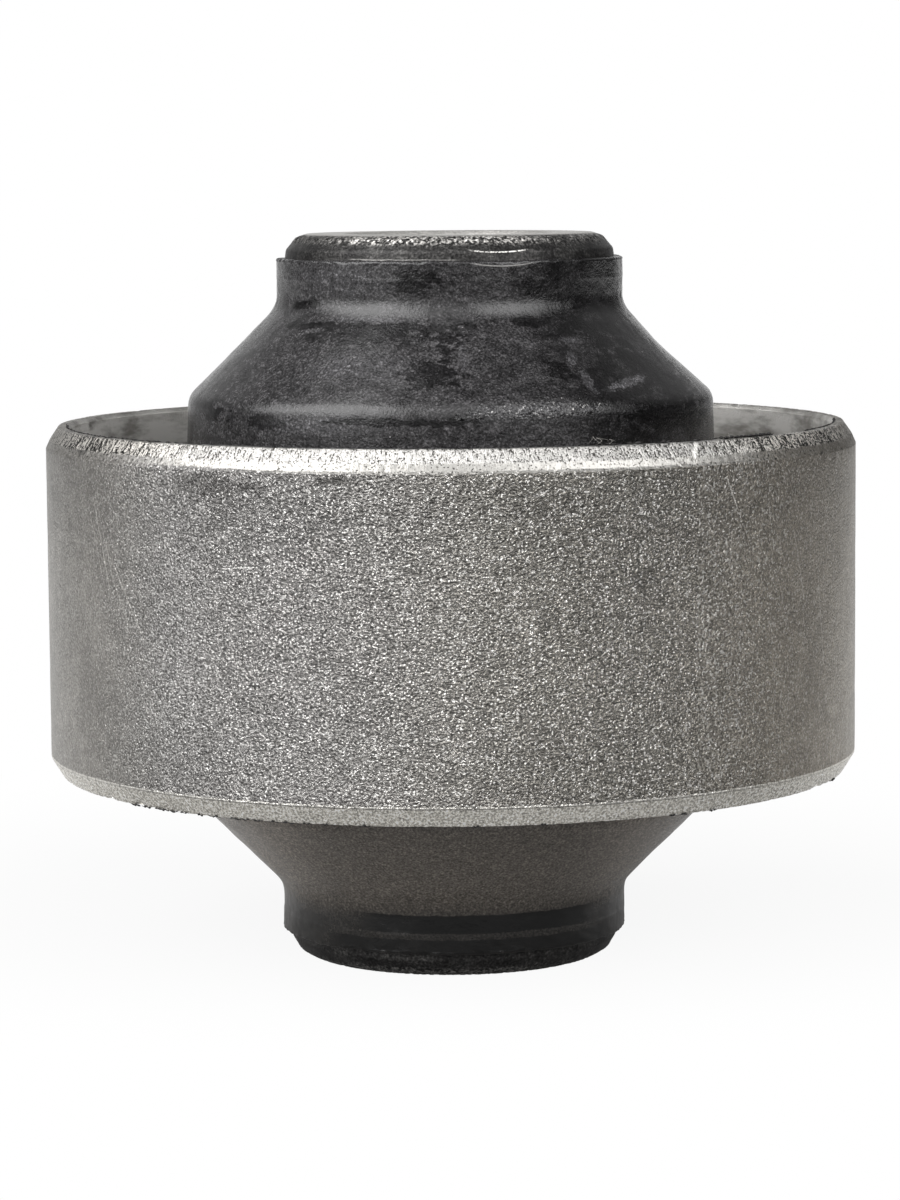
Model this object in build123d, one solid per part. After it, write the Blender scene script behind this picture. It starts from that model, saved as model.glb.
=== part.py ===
"""A bonded rubber-metal bush for a control arm: a steel ring, a steel tube and the rubber between them.

Every piece is turned or moulded round one axis, so each is half a section revolved about Z. The origin is
the middle of the bush, on its axis, and the end at +Z is called the top. Sizes are in millimetres and
angles in degrees.
"""

import os
from math import cos, radians, tan

from build123d import *

# Outer sleeve: the steel ring that is pressed into the arm.
SLEEVE_DIAMETER = 60.0
SLEEVE_HEIGHT = 25.7
SLEEVE_WALL = 1.8
SLEEVE_EDGE_BREAK = 0.3  # on both inner edges

# The ring's top has a lead-in cone above a steeper land. Its foot has one plain chamfer.
LEAD_IN_WIDTH = 0.65
LEAD_IN_HEIGHT = 0.95
LAND_WIDTH = 0.29
LAND_HEIGHT = 0.65
FOOT_WIDTH = 0.8
FOOT_HEIGHT = 1.3

# Inner sleeve: the thick tube that the bolt passes through and clamps.
TUBE_LENGTH = 53.6
TUBE_DIAMETER = 24.4
TUBE_CROWN_WIDTH = 1.2  # each end corner is turned in two flats: a shallow crown
TUBE_CROWN_HEIGHT = 0.5
TUBE_BEVEL_WIDTH = 0.55  # and a steep bevel below it
TUBE_BEVEL_HEIGHT = 1.2
BORE_DIAMETER = 14.2
BORE_CHAMFER = 0.8

# Rubber body: both of its ends have the same form.
BARE_TUBE = 1.8  # how far the tube stands out of the collar
COLLAR_SKIN = 0.6  # rubber over the tube at the collar
COLLAR_LENGTH = 3.5
COLLAR_FILLET = 2.2  # where the collar runs out into the cone
CONE_ANGLE = 45.0  # from the axis
SHOULDER_DIAMETER = 38.9
SHOULDER_ROUNDING = 1.5
TRENCH_DEPTH = 7.0  # below the ring's rim
TRENCH_DRAFT = 2.0  # lean of both its walls, so that the mould pulls out
TRENCH_FLOOR_BEVEL = 1.2  # on both corners of its floor
LINING_THICKNESS = 0.9  # rubber on the ring's inner wall
LINING_SETBACK = 3.0  # bare steel between the rim and the lining
LINING_RUN_OUT = 0.6  # length over which the lining thins out to its edge

# Radii and heights that follow from the sizes above.
SLEEVE_RADIUS = SLEEVE_DIAMETER / 2
SLEEVE_BORE_RADIUS = SLEEVE_RADIUS - SLEEVE_WALL
RIM = SLEEVE_HEIGHT / 2
TUBE_RADIUS = TUBE_DIAMETER / 2
TUBE_END = TUBE_LENGTH / 2
BORE_RADIUS = BORE_DIAMETER / 2
SHOULDER_RADIUS = SHOULDER_DIAMETER / 2


# The most of a stretch of wall that a round or a bevel may use up.
WALL_SHARE = 0.96


def rounding(radius, turn, *stretches):
    """A corner's radius, made smaller where a stretch of wall that it may use can't hold its tangent."""
    tangent = tan(radians(turn) / 2)
    return min(radius, *(WALL_SHARE * stretch / tangent for stretch in stretches))


def mirrored(corners):
    """The same corners below the middle, in the order that carries the outline on round."""
    return [(radius, -height, corner_radius) for radius, height, corner_radius in reversed(corners)]


def turned(corners):
    """The solid of revolution whose half section has these (radius, height, corner radius) corners."""
    points = [(radius, height) for radius, height, _ in corners]
    with BuildPart() as part:
        with BuildSketch(Plane.XZ):
            with BuildLine():
                FilletPolyline(*points, radius=[corner[2] for corner in corners], close=True)
            make_face()
        revolve(axis=Axis.Z)
    return part.part


def outer_sleeve():
    """The ring, from its inner wall round over the rim and down the flank to the foot."""
    return turned([
        (SLEEVE_BORE_RADIUS, RIM - SLEEVE_EDGE_BREAK, 0),
        (SLEEVE_BORE_RADIUS + SLEEVE_EDGE_BREAK, RIM, 0),
        (SLEEVE_RADIUS - LAND_WIDTH - LEAD_IN_WIDTH, RIM, 0),
        (SLEEVE_RADIUS - LAND_WIDTH, RIM - LEAD_IN_HEIGHT, 0),
        (SLEEVE_RADIUS, RIM - LEAD_IN_HEIGHT - LAND_HEIGHT, 0),
        (SLEEVE_RADIUS, FOOT_HEIGHT - RIM, 0),
        (SLEEVE_RADIUS - FOOT_WIDTH, -RIM, 0),
        (SLEEVE_BORE_RADIUS + SLEEVE_EDGE_BREAK, -RIM, 0),
        (SLEEVE_BORE_RADIUS, SLEEVE_EDGE_BREAK - RIM, 0),
    ])


def inner_sleeve():
    """The tube, with a crown and a bevel on its end corners and chamfers at the bore's mouths."""
    top = [
        (BORE_RADIUS, TUBE_END - BORE_CHAMFER, 0),
        (BORE_RADIUS + BORE_CHAMFER, TUBE_END, 0),
        (TUBE_RADIUS - TUBE_BEVEL_WIDTH - TUBE_CROWN_WIDTH, TUBE_END, 0),
        (TUBE_RADIUS - TUBE_BEVEL_WIDTH, TUBE_END - TUBE_CROWN_HEIGHT, 0),
        (TUBE_RADIUS, TUBE_END - TUBE_CROWN_HEIGHT - TUBE_BEVEL_HEIGHT, 0),
    ]
    return turned(top + mirrored(top))


def rubber_body():
    """The moulding: a collar, cone, shoulder, trench and lining at each end, and a web between."""
    lip = TUBE_END - BARE_TUBE
    collar = TUBE_RADIUS + COLLAR_SKIN
    root = lip - COLLAR_LENGTH
    cone_height = (SHOULDER_RADIUS - collar) / tan(radians(CONE_ANGLE))
    cone_wall = cone_height / cos(radians(CONE_ANGLE))
    shoulder = root - cone_height
    floor = RIM - TRENCH_DEPTH
    lining_edge = RIM - LINING_SETBACK
    lining_top = lining_edge - LINING_RUN_OUT
    lining = SLEEVE_BORE_RADIUS - LINING_THICKNESS
    lean = tan(radians(TRENCH_DRAFT))
    inner_foot = SHOULDER_RADIUS + (shoulder - floor) * lean
    outer_foot = lining - (lining_top - floor) * lean
    fillet = rounding(COLLAR_FILLET, CONE_ANGLE, COLLAR_LENGTH, cone_wall / 2)
    round_over = rounding(SHOULDER_ROUNDING, CONE_ANGLE, cone_wall / 2, (shoulder - floor) / 2)
    bevel = min(TRENCH_FLOOR_BEVEL, WALL_SHARE * (outer_foot - inner_foot) / 2)
    top = [
        (TUBE_RADIUS, lip, 0),
        (collar, lip, 0),
        (collar, root, fillet),
        (SHOULDER_RADIUS, shoulder, round_over),
        (inner_foot - bevel * lean, floor + bevel, 0),
        (inner_foot + bevel, floor, 0),
        (outer_foot - bevel, floor, 0),
        (outer_foot + bevel * lean, floor + bevel, 0),
        (lining, lining_top, 0),
        (SLEEVE_BORE_RADIUS, lining_edge, 0),
    ]
    return turned(top + mirrored(top))


os.makedirs("parts", exist_ok=True)
PIECES = {"outer_sleeve": outer_sleeve, "rubber_body": rubber_body, "inner_sleeve": inner_sleeve}
for name, make in PIECES.items():
    export_step(make(), f"parts/{name}.step")
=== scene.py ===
# %% [markdown]
# # Dressing a bonded rubber-metal bush
#
# The bush is three pieces that never come apart: a short steel ring, a thick steel tube, and the rubber that
# was moulded between them. Each is a shape of revolution round one upright axis, so each starts here as half
# a section and is carried once round the axis. Its points then move in or out, by a quarter of a millimetre
# at most, where the real one is worn, dented or torn. Lengths are in millimetres until a mesh is made.

# %% Load the fixed frame
import math

import bpy
import numpy as np
from mathutils import Matrix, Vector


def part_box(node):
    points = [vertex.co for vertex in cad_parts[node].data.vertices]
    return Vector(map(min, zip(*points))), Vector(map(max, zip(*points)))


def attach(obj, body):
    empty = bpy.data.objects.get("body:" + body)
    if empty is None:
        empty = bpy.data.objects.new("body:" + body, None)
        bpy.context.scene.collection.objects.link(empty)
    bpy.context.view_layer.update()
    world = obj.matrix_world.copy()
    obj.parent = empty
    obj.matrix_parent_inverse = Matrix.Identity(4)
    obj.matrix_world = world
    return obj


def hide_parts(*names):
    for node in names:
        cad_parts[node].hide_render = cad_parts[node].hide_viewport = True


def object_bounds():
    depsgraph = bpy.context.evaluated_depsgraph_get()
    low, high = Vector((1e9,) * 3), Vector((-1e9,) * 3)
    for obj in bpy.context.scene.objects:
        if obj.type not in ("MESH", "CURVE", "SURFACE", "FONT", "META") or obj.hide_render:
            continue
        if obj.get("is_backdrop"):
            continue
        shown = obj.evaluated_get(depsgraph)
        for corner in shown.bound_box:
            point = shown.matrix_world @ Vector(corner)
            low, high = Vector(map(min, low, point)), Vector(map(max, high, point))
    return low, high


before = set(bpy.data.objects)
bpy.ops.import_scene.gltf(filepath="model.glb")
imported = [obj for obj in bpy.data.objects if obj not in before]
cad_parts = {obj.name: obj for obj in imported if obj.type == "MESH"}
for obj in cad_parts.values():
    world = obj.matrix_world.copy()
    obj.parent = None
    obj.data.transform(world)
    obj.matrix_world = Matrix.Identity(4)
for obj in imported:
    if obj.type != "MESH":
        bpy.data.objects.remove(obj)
cad_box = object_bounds()
MM = 0.001

# %% [markdown]
# ## Sizes
#
# The overall radii and heights are read from the construction model, so the dressing always fits it. The
# small sizes below are those of the edges and steps on the section. A radius is measured from the axis, and
# a height from the middle of the bush.

# %% Read the radii and heights
sleeve_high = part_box("outer_sleeve")[1]
rubber_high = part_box("rubber_body")[1]
tube_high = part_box("inner_sleeve")[1]

RING_RADIUS = sleeve_high.x / MM
RIM = sleeve_high.z / MM
LINING_RADIUS = rubber_high.x / MM
COLLAR_LIP = rubber_high.z / MM
TUBE_RADIUS = tube_high.x / MM
TUBE_END = tube_high.z / MM
BODY = "root"
print(f"ring {RING_RADIUS:.2f} x {RIM:.2f}, tube {TUBE_RADIUS:.2f} x {TUBE_END:.2f}")
print(f"collar lip {COLLAR_LIP:.2f}, lining {LINING_RADIUS:.2f}")

# %% [markdown]
# ## From a section to a surface
#
# A turned part is easiest to draw as corners: a radius, a height, how much the corner is rounded, and how
# many steps the wall after it gets. Blender has a Screw modifier for the turning, but a plain grid of points
# worked out with numpy lets each point be moved along its own normal before the mesh exists, which is how
# the torn edges and blasted walls are made below.

# %% Round the corners of a section
def section(corners, arc_step=0.12):
    """Points round a closed outline, as an array of (radius, height).

    Each corner is (radius, height, rounding, steps). A rounding R cuts both walls back by R times the tangent
    of half the turn, and an arc about the point that lies R from both walls joins the cuts, with a point
    about every `arc_step` millimetres. The wall that leads on to the next corner is divided into the given
    number of equal steps.
    """
    spots = np.array([corner[:2] for corner in corners], float)
    before = spots - np.roll(spots, 1, axis=0)
    before /= np.linalg.norm(before, axis=1, keepdims=True)
    after = np.roll(before, -1, axis=0)
    turn = np.arctan2(before[:, 0] * after[:, 1] - before[:, 1] * after[:, 0], (before * after).sum(1))
    radii = [corner[2] for corner in corners]
    rounds = [round_corner(*values, arc_step) for values in zip(spots, before, turn, radii)]
    points = []
    for arc, following, corner in zip(rounds, rounds[1:] + rounds[:1], corners):
        share = np.arange(1, corner[3])[:, None] / corner[3]
        points += [arc, arc[-1] + share * (following[0] - arc[-1])]
    return np.concatenate(points)


def round_corner(spot, before, turn, radius, arc_step):
    """The arc of one corner: its centre plus R times a direction that swings through the turn."""
    if radius == 0 or abs(turn) < 1e-6:
        return spot[None, :]
    side = math.copysign(1, turn)
    start = spot - before * radius * math.tan(abs(turn) / 2)
    inward = side * np.array([-before[1], before[0]])
    centre = start + radius * inward
    swing = np.linspace(0, turn, max(2, math.ceil(radius * abs(turn) / arc_step)) + 1)
    cosine, sine = np.cos(swing), np.sin(swing)
    spoke = -radius * inward
    return centre + np.stack([cosine * spoke[0] - sine * spoke[1], sine * spoke[0] + cosine * spoke[1]], 1)


def mirrored(corners):
    """The same corners below the middle, with the steps kept on the walls that they belong to."""
    steps = [corner[3] for corner in corners]
    flipped = [(radius, -height, rounding) for radius, height, rounding, _ in reversed(corners)]
    return [(*corner, count) for corner, count in zip(flipped, steps[-2::-1] + steps[-1:])]


square = section([(1, 1, 0.3, 1), (0, 1, 0, 1), (0, 0, 0, 1), (1, 0, 0, 1)])
print("a square with one rounded corner is", len(square), "points")

# %% [markdown]
# ## Relief that closes on itself
#
# Cast and blasted walls are never true. Their waviness is a sum of many small cosine waves in random
# directions. Round the bush each wave has a whole number of crests, so the pattern meets itself with no seam.

# %% Waves over an unrolled wall
def waves(turn, along, radius, length, seed, count=48):
    """Random relief of about unit height over a wall unrolled into turn (radians) and distance along (mm).

    It is the sum of cos(n * turn + k * along + phase) over `count` waves. Their lengths are spread about
    `length`, their directions are random, and n is a whole number.
    """
    draw = np.random.default_rng(seed)
    pitch = 2 * np.pi / (length * draw.uniform(0.6, 1.7, count))
    heading = draw.uniform(0, 2 * np.pi, count)
    crests = np.round(radius * pitch * np.cos(heading))
    rise = pitch * np.sin(heading)
    phase = draw.uniform(0, 2 * np.pi, count)
    total = np.zeros(np.broadcast(turn, along).shape)
    for n, k, start in zip(crests, rise, phase):
        total += np.cos(n * turn + k * along + start)
    return total * math.sqrt(2 / count)


def bump_at(turn, along, degrees, height, half_turn, half_height):
    """One soft swelling: exp of minus the squared distance, in half widths, from its middle.

    The turn's distance is wrapped, so that a swelling may lie across the back of the bush.
    """
    away = np.angle(np.exp(1j * (turn - math.radians(degrees)))) / math.radians(half_turn)
    return np.exp(-away**2 - ((along - height) / half_height) ** 2)


all_round = np.linspace(0, 2 * np.pi, 500)
print(f"waves spread by {waves(all_round, 0.0, RING_RADIUS, 5.0, seed=1).std():.2f} about nought")

# %% [markdown]
# ## Carrying a section round the axis
#
# The grid has one row for each point of the section and one column for each direction. It is closed both
# ways, like the skin of a doughnut, so it has no poles, no open edges and no seam.

# %% Turn a section into a grid
def lathe(name, outline, columns, relief=None):
    """A closed ring: outline point i, turned by column j's share of a full turn from the front (-Y).

    The point is (r sin t, -r cos t, z). It is first moved along the outline's own outward normal by
    relief(turn, outline radius, outline height), in millimetres.
    """
    radius, height = outline[:, :1], outline[:, 1:]
    ahead = np.roll(outline, -1, axis=0) - np.roll(outline, 1, axis=0)
    normal = np.stack([ahead[:, 1], -ahead[:, 0]], 1)
    normal /= np.linalg.norm(normal, axis=1, keepdims=True)
    after = np.roll(outline, -1, axis=0)
    area = (outline[:, 0] * after[:, 1] - after[:, 0] * outline[:, 1]).sum() / 2
    normal *= math.copysign(1, area)
    turn = np.arange(columns)[None, :] * 2 * np.pi / columns
    lift = relief(turn, radius, height) if relief else np.zeros((len(outline), columns))
    across = radius + lift * normal[:, :1]
    upward = height + lift * normal[:, 1:]
    grid = np.stack([across * np.sin(turn), -across * np.cos(turn), upward + 0 * turn], -1)
    return closed_grid(name, grid if area > 0 else grid[::-1])


# %% Turn a grid into a mesh
def closed_grid(name, grid):
    """A mesh of four-sided faces over a grid of points that closes on itself both ways."""
    rows, columns = grid.shape[:2]
    row, column = np.meshgrid(np.arange(rows), np.arange(columns), indexing="ij")
    next_row, next_column = (row + 1) % rows, (column + 1) % columns
    corners = [row * columns + column, row * columns + next_column,
               next_row * columns + next_column, next_row * columns + column]
    return solid(name, grid.reshape(-1, 3), np.stack(corners, -1).reshape(-1, 4))


def solid(name, points, quads):
    """A smooth-shaded mesh object in metres, from points in millimetres and faces of four corners."""
    mesh = bpy.data.meshes.new(name)
    mesh.vertices.add(len(points))
    mesh.vertices.foreach_set("co", (points * MM).astype(np.float32).ravel())
    mesh.loops.add(quads.size)
    mesh.loops.foreach_set("vertex_index", quads.astype(np.int32).ravel())
    mesh.polygons.add(len(quads))
    mesh.polygons.foreach_set("loop_start", np.arange(0, quads.size, 4, dtype=np.int32))
    mesh.update(calc_edges=True)
    mesh.validate()
    mesh.shade_smooth()
    made = bpy.data.objects.new(name, mesh)
    bpy.context.scene.collection.objects.link(made)
    print(f"{name}: {len(points)} points, {len(quads)} faces")
    return made


# %% [markdown]
# ## Maths on node sockets
#
# A material is a drawing made of sums. Written as nodes it is hard to read, so one small class wraps a
# node's output and lets Python's own signs stand for Math nodes: `1 - mask` adds a Subtract node. Every
# other node comes from one method, which sets the node's options first and then fills its sockets.

# %% A wire that arithmetic works on
class Wire:
    """One output of a node. Each operator adds a Math node to the same tree and returns its output."""

    def __init__(self, finish, socket):
        self.finish = finish
        self.socket = socket

    def math(self, operation, *values):
        """A Math node with this operation on these values."""
        return self.finish.node("Math", {"operation": operation}, dict(enumerate(values)))

    def __add__(self, other):
        return self.math("ADD", self, other)

    def __radd__(self, other):
        return self.math("ADD", other, self)

    def __sub__(self, other):
        return self.math("SUBTRACT", self, other)

    def __rsub__(self, other):
        return self.math("SUBTRACT", other, self)

    def __mul__(self, other):
        return self.math("MULTIPLY", self, other)

    def __rmul__(self, other):
        return self.math("MULTIPLY", other, self)

    def __truediv__(self, other):
        return self.math("DIVIDE", self, other)

    def __rpow__(self, other):
        return self.math("POWER", other, self)

    def __pow__(self, other):
        return self.math("POWER", self, other)

    def __abs__(self):
        return self.math("ABSOLUTE", self)

    def most(self, other):
        return self.math("MAXIMUM", self, other)

    def least(self, other):
        return self.math("MINIMUM", self, other)


# %% A finish, which makes every other node
class Finish:
    """A node tree with one method for every kind of node, and a few short names for the common ones."""

    def __init__(self, tree):
        self.tree = tree
        tree.nodes.clear()

    def node(self, kind, settings=None, sockets=None, output=0):
        """A new node: its options are set first, then each socket is linked to a wire or given a value."""
        made = self.tree.nodes.new("ShaderNode" + kind)
        for setting, value in (settings or {}).items():
            setattr(made, setting, value)
        for socket, value in (sockets or {}).items():
            if isinstance(value, Wire):
                self.tree.links.new(value.socket, made.inputs[socket])
            else:
                made.inputs[socket].default_value = value
        return Wire(self, made.outputs[output]) if len(made.outputs) else made

    def step(self, value, low, high):
        """0 below low, 1 above high, and a smooth rise between. With low above high it falls instead."""
        ends = {0: value, 1: low, 2: high, 3: 0.0, 4: 1.0}
        if low > high:
            ends = {0: value, 1: high, 2: low, 3: 1.0, 4: 0.0}
        return self.node("MapRange", {"interpolation_type": "SMOOTHSTEP"}, ends)

    def band(self, value, middle, half, soft):
        """1 within half of the middle, falling to 0 over a further soft."""
        return self.step(abs(value - middle), half + soft, half)

    def noise(self, place, size, detail=2.0, roughness=0.5, distortion=0.0):
        """Cloudy noise about 0.5, with features of the given size in millimetres."""
        return self.node("TexNoise", {}, {"Vector": place, "Scale": 1 / size, "Detail": detail,
                                          "Roughness": roughness, "Distortion": distortion})

    def mix(self, share, first, second):
        """A colour between two, by a share from 0 to 1."""
        return self.node("Mix", {"data_type": "RGBA"}, {0: share, 6: first, 7: second}, output=2)

    def toned(self, colour, tone):
        """A colour made lighter or darker by a factor."""
        colour = colour if isinstance(colour, Wire) else colour[:3]
        return self.node("VectorMath", {"operation": "SCALE"}, {0: colour, "Scale": tone})

    def parts(self, vector):
        """The three numbers of a vector, each on a wire of its own."""
        split = self.node("SeparateXYZ", {}, {0: vector}).socket.node
        return [Wire(self, socket) for socket in split.outputs]

    def joined(self, x, y, z):
        """Three numbers as one vector."""
        return self.node("CombineXYZ", {}, {0: x, 1: y, 2: z})

    def turn_from(self, turn, middle):
        """How many degrees a turn lies from a middle, wrapped to half a turn either way."""
        return self.node("Math", {"operation": "WRAP"}, {0: turn - middle, 1: 180.0, 2: -180.0})

    def scattered(self, place, spacing, output):
        """Scattered points about the given distance apart: the distance to the nearest one, or its colour."""
        sockets = {"Vector": place, "Scale": 1 / spacing}
        return self.node("TexVoronoi", {"feature": "F1"}, sockets, output=output)

    def leaning(self, height, strength=1.0):
        """A normal that leans with a height in millimetres, so that a flat mesh looks dimpled."""
        sockets = {"Strength": strength, "Distance": MM, "Height": height}
        return self.node("Bump", {}, sockets, output="Normal")

    def surface(self, colour, roughness, normal, metallic):
        """A Principled shader fed by the finish, wired to the material's output."""
        inputs = {"Base Color": colour, "Roughness": roughness, "Normal": normal, "Metallic": metallic}
        shader = self.node("BsdfPrincipled", {}, inputs)
        self.node("OutputMaterial", {}, {"Surface": shader})


# %% Colours and coordinates
def paint(red, green, blue):
    """A screen colour of three 8-bit numbers as the linear colour that a shader wants."""
    screen = np.array([red, green, blue]) / 255
    linear = np.where(screen > 0.04045, ((screen + 0.055) / 1.055) ** 2.4, screen / 12.92)
    return (*linear.tolist(), 1.0)


def material(name):
    """A new material, its finish, and the coordinates that every finish here reads.

    They come from the piece's own Object coordinates, in millimetres: the place as a vector, the height, the
    distance from the axis, and the turn in degrees to the right of the front.
    """
    made = bpy.data.materials.new(name)
    made.use_nodes = True
    finish = Finish(made.node_tree)
    metres = finish.node("TexCoord", output="Object")
    place = finish.node("VectorMath", {"operation": "SCALE"}, {0: metres, "Scale": 1 / MM})
    x, y, z = finish.parts(place)
    radius = (x * x + y * y) ** 0.5
    turn = x.math("ARCTAN2", x, 0 - y) * (180 / math.pi)
    return made, finish, {"place": place, "x": x, "y": y, "z": z, "radius": radius, "turn": turn}


print("paint(128, 128, 128) is", [round(v, 3) for v in paint(128, 128, 128)])

# %% [markdown]
# ## The steel ring
#
# The ring is a short length of tube. Its rim has a lead-in cone over a steeper land, turned so that it
# enters its eye, and its foot has one plain chamfer. Every edge gets a small rounding, because light finds a
# real edge and never a perfect one. A Bevel modifier could round them, but the section already knows where
# its corners are, so the rounding is written there.

# %% Section of the ring
RIM_BREAK = 0.3
LEAD_IN_WIDTH, LEAD_IN_HEIGHT = 0.65, 0.95
LAND_WIDTH, LAND_HEIGHT = 0.29, 0.65
FOOT_WIDTH, FOOT_HEIGHT = 0.8, 1.3
LAND_TOP = RIM - LEAD_IN_HEIGHT
LAND_FOOT = LAND_TOP - LAND_HEIGHT
FOOT_TOP = FOOT_HEIGHT - RIM

ring_section = section([
    (LINING_RADIUS, RIM - RIM_BREAK, 0.05, 2),
    (LINING_RADIUS + RIM_BREAK, RIM, 0.05, 3),
    (RING_RADIUS - LAND_WIDTH - LEAD_IN_WIDTH, RIM, 0.08, 6),
    (RING_RADIUS - LAND_WIDTH, LAND_TOP, 0.12, 5),
    (RING_RADIUS, LAND_FOOT, 0.12, 24),
    (RING_RADIUS, FOOT_TOP, 0.12, 6),
    (RING_RADIUS - FOOT_WIDTH, -RIM, 0.08, 3),
    (LINING_RADIUS + RIM_BREAK, -RIM, 0.05, 2),
    (LINING_RADIUS, RIM_BREAK - RIM, 0.05, 12),
])
print("ring's section:", len(ring_section), "points")

# %% Relief of the ring
RING_COLUMNS = 1200
SLOW_DEPTH, SLOW_LENGTH = 0.010, 5.0
FINE_DEPTH, FINE_LENGTH = 0.009, 0.6
BRUISE_HALF_TURN, BRUISE_HALF_HEIGHT = 1.1, 0.5
BRUISES = (  # turn and depth
    (-56, 0.10), (-52.5, 0.06), (-49, 0.12), (-45.5, 0.06), (-41, 0.08),
    (63, 0.06), (140, 0.1), (206, 0.08),
)


def ring_relief(turn, radius, height):
    """Slow waves over the flank, finer ones on the turned edges, and a few bruises along the foot.

    It stays a hundredth of a millimetre under the true surface, so the ring keeps inside its own box.
    """
    slow = SLOW_DEPTH * waves(turn, height, RING_RADIUS, SLOW_LENGTH, seed=11)
    fine = FINE_DEPTH * waves(turn, height, RING_RADIUS, FINE_LENGTH, seed=12)
    edge = (np.abs(height) > LAND_FOOT - 0.3) & (radius > LINING_RADIUS + RIM_BREAK)
    half_widths = BRUISE_HALF_TURN, BRUISE_HALF_HEIGHT
    bruises = sum(size * bump_at(turn, height, degrees, -RIM, *half_widths) for degrees, size in BRUISES)
    return np.minimum(slow + fine * np.where(edge, 1.6, 0.6) - bruises - 0.015, -0.01)


ring = lathe("steel_ring", ring_section, RING_COLUMNS, ring_relief)

# %% [markdown]
# ## The rubber
#
# One moulding fills the gap. At each end it has a collar over the tube, a cone, a rounded shoulder, and a
# trench that lets the cone move before it meets the ring. A thin lining of the same rubber runs up the
# ring's inner wall and thins out to an edge. The trench floor is a smooth round here, where a hand would
# feel it, and the collar's lip is as uneven as the mould's flash line left it.

# %% Section of the rubber
COLLAR = TUBE_RADIUS + 0.6
COLLAR_ROOT = COLLAR_LIP - 3.5
SHOULDER_RADIUS = 19.45
SHOULDER = COLLAR_ROOT - (SHOULDER_RADIUS - COLLAR)
TRENCH_FLOOR = RIM - 7.0
LINING_TOP = RIM - 3.6
LINING_EDGE = RIM - 3.0
LINING = LINING_RADIUS - 0.9

rubber_top = [
    (TUBE_RADIUS, COLLAR_LIP, 0, 4),
    (COLLAR, COLLAR_LIP, 0.14, 30),
    (COLLAR, COLLAR_ROOT, 2.2, 18),
    (SHOULDER_RADIUS, SHOULDER, 1.5, 9),
    (SHOULDER_RADIUS + 0.3, TRENCH_FLOOR, 1.4, 6),
    (LINING - 0.12, TRENCH_FLOOR, 1.4, 3),
    (LINING, LINING_TOP, 0.2, 3),
    (LINING_RADIUS, LINING_EDGE, 0, 5),
]
rubber_section = section(rubber_top + mirrored(rubber_top), arc_step=0.3)
print("rubber's section:", len(rubber_section), "points")

# %% Relief of the rubber
RUBBER_COLUMNS = 460
MOULD_LINE = COLLAR_LIP - 1.4
HOLLOW_DEPTH = 0.2
HOLLOW = (88, 18.7, 34, 2.2)  # turn, height, half width in degrees, half height
PRESSED_DEPTH = 0.07
PRESSED = (17.4, COLLAR_LIP, 10, 0.25)


def rubber_relief(turn, radius, height):
    """Soft waves of the moulding, the mould's joint line on each collar, a hollow, and a pressed lip.

    The hollow is a long dent in the right of the upper cone. The lip is torn by a few hundredths, and is
    pushed down at one place by whatever marked the tube above it.
    """
    soft = 0.016 * waves(turn, height, COLLAR, 4.0, seed=21)
    soft += 0.006 * waves(turn, height, COLLAR, 1.0, seed=22)
    lip = np.abs(np.abs(height) - COLLAR_LIP) < 0.16
    torn = 0.022 * waves(turn, 0 * height, COLLAR, 0.8, seed=23) * lip
    joint = 0.012 * np.exp(-((np.abs(height) - MOULD_LINE) / 0.12) ** 2) * (radius < COLLAR + 0.1)
    hollow = -HOLLOW_DEPTH * bump_at(turn, height, *HOLLOW)
    pressed = -PRESSED_DEPTH * bump_at(turn, height, *PRESSED) * (height > 0)
    return soft * (radius < LINING) + torn + joint + hollow + pressed


rubber = lathe("rubber_moulding", rubber_section, RUBBER_COLUMNS, rubber_relief)

# %% [markdown]
# ## The steel tube
#
# The bolt clamps this tube, so its ends are flat and bright. The outside edge of each end was turned in two
# cuts, a shallow crown and a steeper bevel, and the two ends aren't quite alike. Only the last 1.8 mm stands
# out of the rubber. Something round once pressed on the upper end, and raised a thin curved burr there.

# %% Section of the tube
BORE_RADIUS = 7.1
BORE_CHAMFER = 0.8
UPPER_EDGE = ((10.6, 0.0), (11.35, 0.28), (TUBE_RADIUS - 0.1, 1.15))  # radius and distance from the end
LOWER_EDGE = ((11.0, 0.0), (11.7, 0.4), (TUBE_RADIUS - 0.02, 1.2))


def tube_end(edge):
    """The corners of one end, from the bore's wall outwards, for an edge turned in two cuts."""
    (crown, crown_drop), (bevel, bevel_drop), (neck, neck_drop) = edge
    return [
        (BORE_RADIUS, TUBE_END - BORE_CHAMFER, 0.1, 3),
        (BORE_RADIUS + BORE_CHAMFER, TUBE_END, 0.15, 8),
        (crown, TUBE_END - crown_drop, 0.3, 3),
        (bevel, TUBE_END - bevel_drop, 0.3, 6),
        (neck, TUBE_END - neck_drop, 0.4, 14),
        (TUBE_RADIUS, COLLAR_LIP - 0.1, 0.2, 12),
    ]


tube_section = section(tube_end(UPPER_EDGE) + mirrored(tube_end(LOWER_EDGE)))
print("tube's section:", len(tube_section), "points")

# %% Relief of the tube
TUBE_COLUMNS = 700
BEVEL_RADIUS, BEVEL_HEIGHT = UPPER_EDGE[1]
BURR_HEIGHT = 0.04
BURR = (17.0, 11.5, 25.8, 0.2)  # turn, half width in turn, height of its ends, and how far it sags


def burr(turn, height, middle, half, level, sag):
    """A hair-thin ridge that hangs in an arc: highest at both ends, and lowest by `sag` in its middle."""
    away = np.degrees(turn) - middle
    ridge = level - sag * (1 - (away / half) ** 2)
    return np.exp(-((height - ridge) / 0.05) ** 2) * np.clip((half - np.abs(away)) / 3, 0, 1)


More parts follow.
